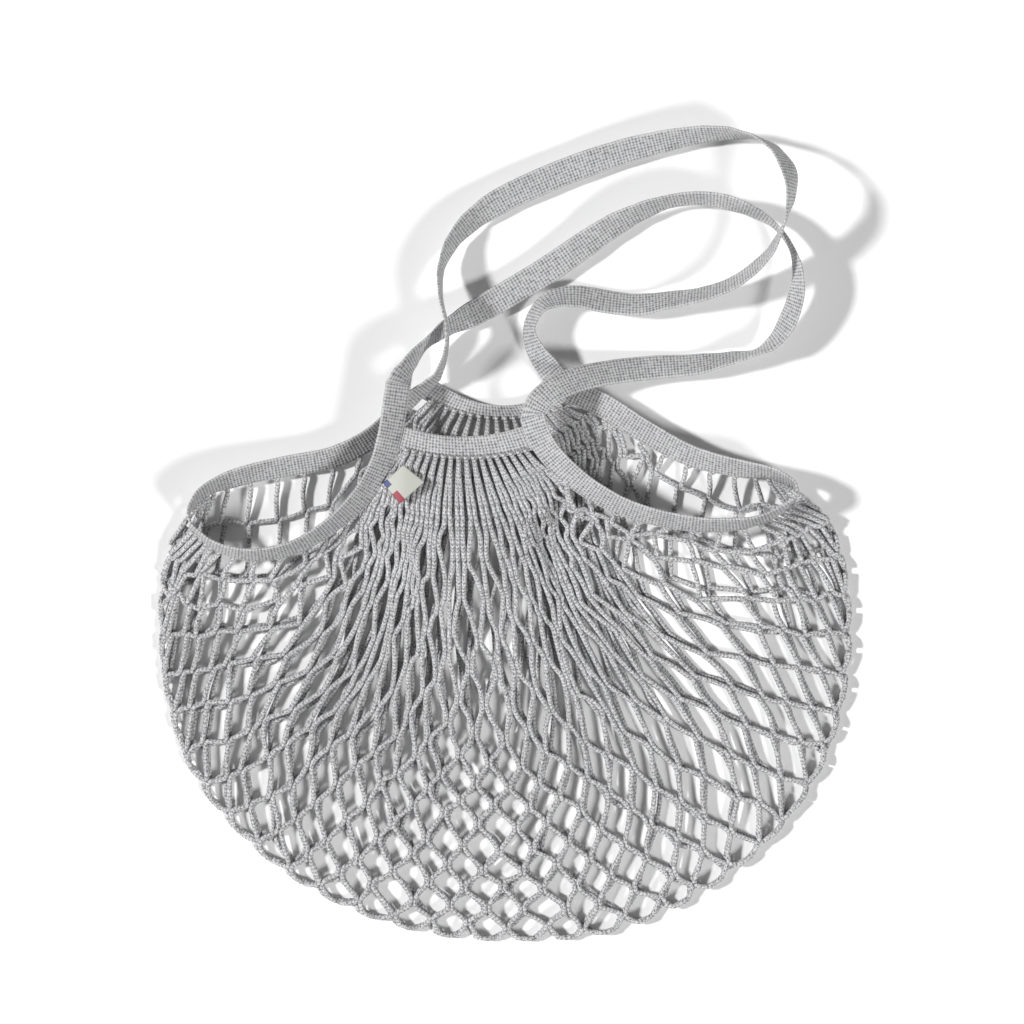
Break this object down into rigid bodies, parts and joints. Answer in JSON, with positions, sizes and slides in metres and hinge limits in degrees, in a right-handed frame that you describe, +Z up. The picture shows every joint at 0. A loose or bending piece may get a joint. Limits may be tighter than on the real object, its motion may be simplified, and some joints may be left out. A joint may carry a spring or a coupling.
{
  "type": "string shopping bag",
  "caption": "Open-net shopping bag with two mouths, gathered neck bands and two long knitted-tape handles, lying flat.",
  "frame": {"origin": "on the floor, under the middle of the whole bag as it lies on its back layer", "axes": "+X across the bag from the left mouth to the right mouth, +Y from the pouch to the handles, +Z up from the floor"},
  "size_m": [0.4304, 0.5048, 0.0533],
  "materials": {
    "net_cord": "knitted cotton cord, matt",
    "knitted_tape": "ribbed knitted cotton tape, matt",
    "label_satin": "woven label satin"
  },
  "bodies": {
    "root": {"net_front": "net_cord", "net_back": "net_cord", "front_neck_band": "knitted_tape", "back_neck_band": "knitted_tape", "left_mouth_tape": "knitted_tape", "right_mouth_tape": "knitted_tape", "front_handle": "knitted_tape", "back_handle": "knitted_tape", "sewn_label": "label_satin"}
  },
  "joints": []
}
